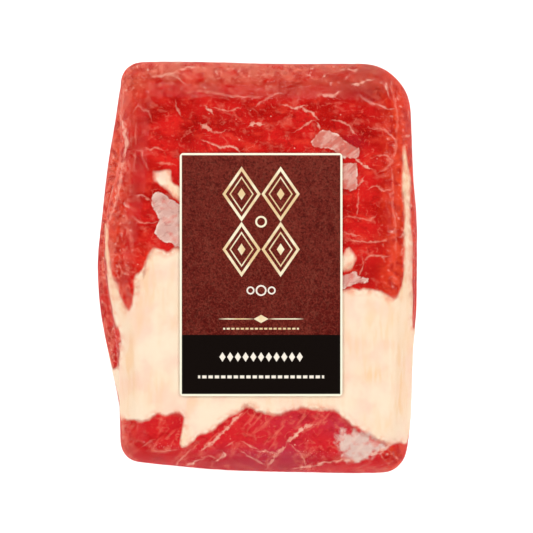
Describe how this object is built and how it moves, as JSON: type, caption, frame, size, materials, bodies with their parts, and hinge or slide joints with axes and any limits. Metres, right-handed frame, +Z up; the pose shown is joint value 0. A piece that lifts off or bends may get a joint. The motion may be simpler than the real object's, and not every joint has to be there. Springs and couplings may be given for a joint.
{
  "type": "vacuum packed ribeye roast",
  "caption": "Block of raw boneless ribeye in skin-tight clear film, lying flat, with a paper label on its upper face.",
  "frame": {"origin": "middle of the flat underside, below the middle of the block as seen from above", "axes": "+X across the block, to the right of its upper face; +Y along it, to the label's top edge; +Z up, out of the labelled face"},
  "size_m": [0.161, 0.205, 0.0737],
  "materials": {
    "meat_in_film": "raw red meat with cream fat and white marbling under clear glossy vacuum film",
    "label_paper": "satin printed paper, burgundy with a leather-like grain over a near-black band, cream edge"
  },
  "bodies": {
    "root": {"meat": "meat_in_film", "label": "label_paper"}
  },
  "joints": []
}
